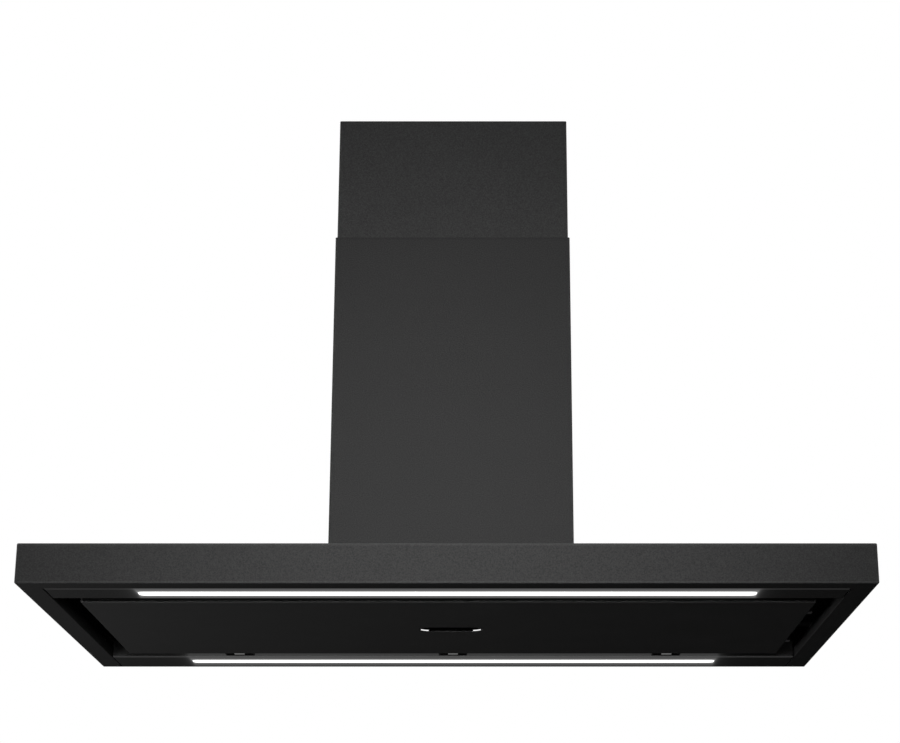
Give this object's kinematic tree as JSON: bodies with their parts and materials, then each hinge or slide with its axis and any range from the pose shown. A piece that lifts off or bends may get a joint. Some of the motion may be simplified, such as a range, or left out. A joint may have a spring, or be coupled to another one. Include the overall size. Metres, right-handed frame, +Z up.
{
  "type": "chimney range hood",
  "caption": "Wall-mounted black chimney hood with a slim flat canopy, hinged perimeter suction panel, LED light bars, blower and telescopic chimney.",
  "frame": {"origin": "on the wall plane, on the hood's centre line, at the level of the canopy's underside", "axes": "+Z up, +Y into the wall (the front faces -Y), +X to the right seen from the front"},
  "size_m": [0.9, 0.5, 0.644],
  "materials": {
    "black_powder_coat": "fine-textured matte powder coat",
    "opal_diffuser": "opal lit acrylic",
    "aluminium_profile": "anodised",
    "circuit_board": "white solder mask",
    "grey_plastic": "moulded",
    "black_plastic": "moulded",
    "filter_aluminium": "expanded mesh",
    "bright_steel": "bright stainless",
    "galvanised": "galvanised sheet",
    "blackened_steel": "blackened",
    "zinc_screw": "zinc plated",
    "clip_plastic": "moulded, light",
    "motor_casting": "cast",
    "green_board": "green solder mask"
  },
  "bodies": {
    "hood": {"canopy_shell": "black_powder_coat", "front_light_bar": "black_powder_coat", "rear_light_bar": "black_powder_coat", "bar_screws": "zinc_screw", "front_led_diffuser": "opal_diffuser", "rear_led_diffuser": "opal_diffuser", "front_led_channel": "aluminium_profile", "rear_led_channel": "aluminium_profile", "front_led_board": "circuit_board", "rear_led_board": "circuit_board", "led_end_caps": "grey_plastic", "filter_bay_frame": "black_powder_coat", "hinge_brackets": "blackened_steel", "hinge_pins": "bright_steel", "catch_magnets": "black_plastic", "blower_box": "galvanised", "blower_box_cover": "galvanised", "cover_screws": "zinc_screw", "scroll_left": "black_plastic", "scroll_right": "black_plastic", "outlet_adapter": "black_plastic", "fan_motor": "motor_casting", "motor_mount": "galvanised", "duct_collar": "black_plastic", "flap_hinge_wire": "bright_steel", "control_box": "black_plastic", "control_box_cover": "black_plastic", "control_board": "green_board", "cable_gland": "black_plastic", "run_capacitor": "aluminium_profile", "capacitor_clip": "galvanised", "led_driver": "grey_plastic", "lower_chimney": "black_powder_coat", "chimney_screws": "zinc_screw", "left_filter_frame": "filter_aluminium", "left_filter_mesh": "filter_aluminium", "centre_filter_frame": "filter_aluminium", "centre_filter_mesh": "filter_aluminium", "right_filter_frame": "filter_aluminium", "right_filter_mesh": "filter_aluminium"},
    "panel": {"perimeter_panel": "black_powder_coat", "finger_cup": "blackened_steel", "cup_tabs": "bright_steel", "panel_stiffeners": "galvanised", "strike_plates": "bright_steel", "edge_clips": "clip_plastic", "hinge_leaves": "bright_steel"},
    "telescopic_cover": {"upper_chimney": "black_powder_coat", "upper_wall_bracket": "galvanised", "bracket_screws": "blackened_steel"},
    "fan": {"impeller": "grey_plastic", "fan_shaft": "bright_steel", "hub_nut": "zinc_screw"},
    "front_damper": {"front_flap": "grey_plastic"},
    "rear_damper": {"rear_flap": "grey_plastic"},
    "left_latch": {"left_filter_latch": "black_plastic"},
    "centre_latch": {"centre_filter_latch": "black_plastic"},
    "right_latch": {"right_filter_latch": "black_plastic"}
  },
  "joints": [
    {"name": "panel_hinge", "type": "hinge", "parent": "hood", "child": "panel", "pos_m": [0, -0.082, 0.005], "axis": [1, 0, 0], "range_deg": [0, 88]},
    {"name": "chimney_slide", "type": "slide", "parent": "hood", "child": "telescopic_cover", "axis": [0, 0, 1], "range_m": [-0.12, 0.22]},
    {"name": "fan_spin", "type": "hinge", "parent": "hood", "child": "fan", "pos_m": [0, -0.145, 0.158], "axis": [1, 0, 0], "continuous": true},
    {"name": "front_damper_hinge", "type": "hinge", "parent": "hood", "child": "front_damper", "pos_m": [0, -0.105, 0.293], "axis": [-1, 0, 0], "range_deg": [0, 75]},
    {"name": "rear_damper_hinge", "type": "hinge", "parent": "hood", "child": "rear_damper", "pos_m": [0, -0.105, 0.293], "axis": [1, 0, 0], "range_deg": [0, 75]},
    {"name": "left_latch_slide", "type": "slide", "parent": "hood", "child": "left_latch", "axis": [0, 1, 0], "range_m": [0, 0.006], "stiffness_N_per_m": 600, "springref_m": -0.004},
    {"name": "centre_latch_slide", "type": "slide", "parent": "hood", "child": "centre_latch", "axis": [0, 1, 0], "range_m": [0, 0.006], "stiffness_N_per_m": 600, "springref_m": -0.004},
    {"name": "right_latch_slide", "type": "slide", "parent": "hood", "child": "right_latch", "axis": [0, 1, 0], "range_m": [0, 0.006], "stiffness_N_per_m": 600, "springref_m": -0.004}
  ]
}
